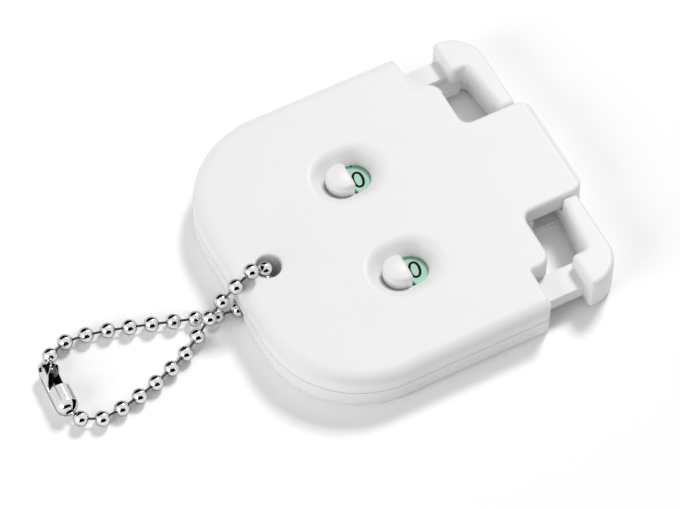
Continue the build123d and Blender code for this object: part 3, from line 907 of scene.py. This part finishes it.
first, last = balls[last_before_coupling], balls[last_before_coupling + 1]
coupling_axis = (last - first).normalized()
side_way = coupling_facing - coupling_axis * coupling_facing.dot(coupling_axis)
side_way.normalize()
other_way = coupling_axis.cross(side_way)
coupling_turn = Matrix((side_way, other_way, coupling_axis)).transposed().to_4x4()
coupling_start = (first + last) / 2 - coupling_axis * coupling_length / 2
coupling.data.transform(Matrix.Translation(coupling_start) @ coupling_turn)
coupling.data.materials.append(nickel)
# The sheet's inside takes the painted shade of the nickel plate.
coupling.data.materials.append(shaded_nickel)
thicken = coupling.modifiers.new("sheet", "SOLIDIFY")
thicken.thickness = coupling_sheet
thicken.offset = -1
thicken.material_offset = 1
soften = coupling.modifiers.new("edges", "BEVEL")
soften.width = coupling_edge
soften.segments = 2
soften.limit_method = "ANGLE"
print("coupling starts at", [round(v / mm, 2) for v in coupling_start], "mm")

# %% [markdown]
# The chain's node tree has named inputs for its shapes, its pitch, its plate
# and the seed of its chances. One branch sets a ball on each point of the
# skeleton, and one sets a wire on each edge. The coupling is in its place
# already. All three are joined, made real and given their plate.

# %% Geometry Nodes: the chain's inputs
def new_tree(name, inputs, output):
    """A Geometry Nodes tree with named inputs and one output, and its two end nodes."""
    tree = bpy.data.node_groups.new(name, "GeometryNodeTree")
    for socket, kind in inputs:
        tree.interface.new_socket(socket, in_out="INPUT", socket_type="NodeSocket" + kind)
    tree.interface.new_socket(output, in_out="OUTPUT", socket_type="NodeSocketGeometry")
    return tree, tree.nodes.new("NodeGroupInput"), tree.nodes.new("NodeGroupOutput")


chain_inputs = (
    ("Skeleton", "Geometry"),
    ("Ball", "Object"),
    ("Wire", "Object"),
    ("Coupling", "Object"),
    ("Pitch", "Float"),
    ("Roll seed", "Int"),
    ("Plate", "Material"),
    ("Shaded plate", "Material"),
)
chain_tree, chain_given, chain_result = new_tree("ball_chain", chain_inputs, "Chain")
print("tree", chain_tree.name, "takes", [socket for socket, kind in chain_inputs])

# %% Geometry Nodes: balls on points
def read_attribute(nodes, name, data_type):
    """A named attribute's value."""
    node = nodes.new("GeometryNodeInputNamedAttribute")
    node.data_type = data_type
    node.inputs["Name"].default_value = name
    return node.outputs["Attribute"]


def aim_along(nodes, links, direction):
    """A rotation that turns Z along a direction."""
    aimed = nodes.new("FunctionNodeAlignRotationToVector")
    aimed.axis = "Z"
    links.new(direction, aimed.inputs["Vector"])
    return aimed.outputs[0]


def balls_on_points(nodes, links, given):
    """A ball on each point, turned along the chain and rolled about it by chance."""
    heading = read_attribute(nodes, "heading", "FLOAT_VECTOR")
    roll = nodes.new("FunctionNodeRandomValue")
    roll.data_type = "FLOAT"
    roll.inputs[3].default_value = 2 * math.pi
    links.new(given.outputs["Roll seed"], roll.inputs["Seed"])
    about = nodes.new("FunctionNodeAxisAngleToRotation")
    about.inputs["Axis"].default_value = (0, 0, 1)
    links.new(roll.outputs[1], about.inputs["Angle"])
    turned = nodes.new("FunctionNodeRotateRotation")
    turned.rotation_space = "LOCAL"
    links.new(aim_along(nodes, links, heading), turned.inputs["Rotation"])
    links.new(about.outputs[0], turned.inputs["Rotate By"])
    ball = nodes.new("GeometryNodeObjectInfo")
    links.new(given.outputs["Ball"], ball.inputs["Object"])
    set_balls = nodes.new("GeometryNodeInstanceOnPoints")
    links.new(given.outputs["Skeleton"], set_balls.inputs["Points"])
    links.new(ball.outputs["Geometry"], set_balls.inputs["Instance"])
    links.new(turned.outputs[0], set_balls.inputs["Rotation"])
    return set_balls.outputs[0]


ball_branch = balls_on_points(chain_tree.nodes, chain_tree.links, chain_given)
print("balls come from the node", ball_branch.node.name)

# %% Geometry Nodes: wires on edges
def edge_middles(nodes, links, skeleton):
    """The middles of the skeleton's edges as points, each with its edge's span."""
    ends = nodes.new("GeometryNodeInputMeshEdgeVertices")
    span = nodes.new("ShaderNodeVectorMath")
    span.operation = "SUBTRACT"
    links.new(ends.outputs["Position 2"], span.inputs[0])
    links.new(ends.outputs["Position 1"], span.inputs[1])
    keep = nodes.new("GeometryNodeStoreNamedAttribute")
    keep.data_type = "FLOAT_VECTOR"
    keep.domain = "EDGE"
    keep.inputs["Name"].default_value = "span"
    links.new(skeleton, keep.inputs["Geometry"])
    links.new(span.outputs[0], keep.inputs["Value"])
    middles = nodes.new("GeometryNodeMeshToPoints")
    middles.mode = "EDGES"
    links.new(keep.outputs[0], middles.inputs["Mesh"])
    return middles.outputs[0]


def wires_on_edges(nodes, links, given):
    """A wire on each edge, aimed along it and as long as it needs."""
    span = read_attribute(nodes, "span", "FLOAT_VECTOR")
    size = nodes.new("ShaderNodeVectorMath")
    size.operation = "LENGTH"
    links.new(span, size.inputs[0])
    share = nodes.new("ShaderNodeMath")
    share.operation = "DIVIDE"
    links.new(size.outputs["Value"], share.inputs[0])
    links.new(given.outputs["Pitch"], share.inputs[1])
    stretch = nodes.new("ShaderNodeCombineXYZ")
    stretch.inputs["X"].default_value = 1.0
    stretch.inputs["Y"].default_value = 1.0
    links.new(share.outputs[0], stretch.inputs["Z"])
    wire = nodes.new("GeometryNodeObjectInfo")
    links.new(given.outputs["Wire"], wire.inputs["Object"])
    middles = edge_middles(nodes, links, given.outputs["Skeleton"])
    set_wires = nodes.new("GeometryNodeInstanceOnPoints")
    links.new(middles, set_wires.inputs["Points"])
    links.new(wire.outputs["Geometry"], set_wires.inputs["Instance"])
    links.new(aim_along(nodes, links, span), set_wires.inputs["Rotation"])
    links.new(stretch.outputs[0], set_wires.inputs["Scale"])
    return set_wires.outputs[0]


wire_branch = wires_on_edges(chain_tree.nodes, chain_tree.links, chain_given)
print("wires come from the node", wire_branch.node.name)

# %% Geometry Nodes: branches joined and plated
def set_material(nodes, links, geometry, material, selection=None):
    """Geometry whose faces, or the chosen ones, take a material."""
    give = nodes.new("GeometryNodeSetMaterial")
    links.new(geometry, give.inputs["Geometry"])
    links.new(material, give.inputs["Material"])
    if selection:
        links.new(selection, give.inputs["Selection"])
    return give.outputs[0]


def join_chain(nodes, links, given, branches):
    """The branches and the coupling, made real and plated."""
    coupling_info = nodes.new("GeometryNodeObjectInfo")
    links.new(given.outputs["Coupling"], coupling_info.inputs["Object"])
    join = nodes.new("GeometryNodeJoinGeometry")
    for branch in (*branches, coupling_info.outputs["Geometry"]):
        links.new(branch, join.inputs[0])
    real = nodes.new("GeometryNodeRealizeInstances")
    links.new(join.outputs[0], real.inputs[0])

    # Bright plate, apart from the faces that have the shaded one already
    plate, shaded_plate = given.outputs["Plate"], given.outputs["Shaded plate"]
    shaded = nodes.new("GeometryNodeMaterialSelection")
    links.new(shaded_plate, shaded.inputs["Material"])
    bright = nodes.new("FunctionNodeBooleanMath")
    bright.operation = "NOT"
    links.new(shaded.outputs[0], bright.inputs[0])
    plated = set_material(nodes, links, real.outputs[0], plate, bright.outputs[0])

    # The balls shut in the coupling are in its shade
    shut_in = read_attribute(nodes, "shut_in", "BOOLEAN")
    return set_material(nodes, links, plated, shaded_plate, shut_in)


chain_end = join_chain(
    chain_tree.nodes, chain_tree.links, chain_given, (ball_branch, wire_branch)
)
chain_tree.links.new(chain_end, chain_result.inputs["Chain"])
print("tree", chain_tree.name, "has", len(chain_tree.nodes), "nodes")

# %% Skeleton of the chain
def chain_skeleton():
    """A mesh with a point at each ball, an edge at each wire and a heading."""
    mesh = bpy.data.meshes.new("chain_skeleton")
    mesh.from_pydata(balls, wires, [])
    headings = mesh.attributes.new("heading", "FLOAT_VECTOR", "POINT")
    for i in range(ball_count):
        away = Vector()
        for a, b in wires:
            if i in (a, b):
                away += (balls[b] - balls[a]).normalized()
        headings.data[i].vector = away.normalized()
    # These two balls take the painted shade inside the coupling.
    shut_in = mesh.attributes.new("shut_in", "BOOLEAN", "POINT")
    for i in (last_before_coupling, last_before_coupling + 1):
        shut_in.data[i].value = True
    return mesh


skeleton = chain_skeleton()
print("skeleton", len(skeleton.vertices), "points,", len(skeleton.edges), "edges")

# %% Chain grown from its skeleton
roll_seed = 7


def set_input(modifier, name, value):
    """A modifier's input, found by its name and set by its identifier."""
    for item in modifier.node_group.interface.items_tree:
        if item.item_type == "SOCKET" and item.in_out == "INPUT" and item.name == name:
            modifier[item.identifier] = value


def grow(name, mesh, tree, inputs):
    """A plain mesh object made by a node tree from a starting mesh."""
    seed = add_object(name + "_seed", mesh)
    modifier = seed.modifiers.new("nodes", "NODES")
    modifier.node_group = tree
    for key, value in inputs.items():
        set_input(modifier, key, value)
    grown = plain_mesh(seed)
    seed.modifiers.clear()
    bpy.data.objects.remove(seed)
    return add_object(name, grown)


chain_sizes = {
    "Ball": add_object("ball_shape", ball_shape),
    "Wire": add_object("wire_shape", wire_shape),
    "Coupling": coupling,
    "Pitch": pitch,
    "Roll seed": roll_seed,
    "Plate": nickel,
    "Shaded plate": shaded_nickel,
}
ball_chain = grow("ball_chain", skeleton, chain_tree, chain_sizes)
for key in ("Ball", "Wire", "Coupling"):
    bpy.data.objects.remove(chain_sizes[key])
print("chain", len(ball_chain.data.polygons), "faces")

# %% Chain in the frame
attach(ball_chain, "case")
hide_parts("chain_beads", "chain_links", "chain_coupling")
print("chain declared,", round(chain_length / mm, 1), "mm")

# %% [markdown]
# A coil spring stands behind each lever and one under each reset button. Its
# wire follows a rule, so many turns of one radius over one length, and a node
# tree with those sizes as inputs winds it. A real spring shortens as its lever
# or button comes in.

# %% Geometry Nodes: a coil
steps_per_turn = 24
wire_round_steps = 8


def coil_tree():
    """A tree that winds a round wire up Z from its sizes."""
    sizes = ("Turns", "Radius", "Length", "Wire radius")
    inputs = [(size, "Float") for size in sizes] + [("Steel", "Material")]
    tree, given, result = new_tree("coil_spring", inputs, "Spring")
    nodes, links = tree.nodes, tree.links
    helix = nodes.new("GeometryNodeCurveSpiral")
    helix.inputs["Resolution"].default_value = steps_per_turn
    links.new(given.outputs["Turns"], helix.inputs["Rotations"])
    links.new(given.outputs["Radius"], helix.inputs["Start Radius"])
    links.new(given.outputs["Radius"], helix.inputs["End Radius"])
    links.new(given.outputs["Length"], helix.inputs["Height"])
    section = nodes.new("GeometryNodeCurvePrimitiveCircle")
    section.inputs["Resolution"].default_value = wire_round_steps
    links.new(given.outputs["Wire radius"], section.inputs["Radius"])
    sweep = nodes.new("GeometryNodeCurveToMesh")
    sweep.inputs["Fill Caps"].default_value = True
    links.new(helix.outputs["Curve"], sweep.inputs["Curve"])
    links.new(section.outputs["Curve"], sweep.inputs["Profile Curve"])
    real = nodes.new("GeometryNodeRealizeInstances")
    links.new(sweep.outputs["Mesh"], real.inputs["Geometry"])
    steel = set_material(nodes, links, real.outputs["Geometry"], given.outputs["Steel"])
    links.new(steel, result.inputs["Spring"])
    return tree


coil_spring = coil_tree()
print("tree", coil_spring.name, "has", len(coil_spring.nodes), "nodes")

# %% Coil springs
spring_wire = 0.3 * mm
lever_spring_turns = 9
button_spring_turns = 4
along_x, along_z = 0, 2


def wind_spring(node, axis, turns):
    """A spring in place of a node, along X or Z."""
    low, high = (Vector(corner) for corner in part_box(node))
    start = (low + high) / 2
    start[axis] = low[axis] + spring_wire / 2
    length = high[axis] - low[axis]
    sizes = {
        "Turns": float(turns),
        "Radius": (high.y - low.y - spring_wire) / 2,
        "Length": length - spring_wire,
        "Wire radius": spring_wire / 2,
        "Steel": spring_steel,
    }
    spring = grow(node + "_coil", bpy.data.meshes.new("coil"), coil_spring, sizes)
    if axis == along_x:
        spring.data.transform(Matrix.Rotation(math.pi / 2, 4, "Y"))
    spring.data.transform(Matrix.Translation(start))
    spring.data.shade_smooth()
    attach(spring, "case")
    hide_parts(node)
    way = Vector((0, 0, 0))
    way[axis] = 1
    anchor = start.copy()
    anchor[axis] = low[axis]
    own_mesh(spring)


for me in ("player_1", "player_2"):
    wind_spring(me + "_lever_spring", along_x, lever_spring_turns)
    wind_spring(me + "_button_spring", along_z, button_spring_turns)

# %% [markdown]
# A holding pawl is a straight strip of spring steel. Its root is fast in a
# post, and its tip stops the dial's teeth. The wedge on the reset button bends
# it away from the dial, towards the middle of the case. A copy of the packed
# strip, with its doubled points merged, stands in its place.

# %% Holding pawls
strip_merge = 1e-6


def bend_pawl(node):
    """A copy of a pawl, with its doubled points merged, fixed to the case."""
    pawl = add_object(node + "_strip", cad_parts[node].data.copy())
    shape = bmesh.new()
    shape.from_mesh(pawl.data)
    bmesh.ops.remove_doubles(shape, verts=shape.verts, dist=strip_merge)
    shape.to_mesh(pawl.data)
    shape.free()
    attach(pawl, "case")
    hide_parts(node)
    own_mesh(pawl)


for me in ("player_1", "player_2"):
    bend_pawl(me + "_holding_pawl")
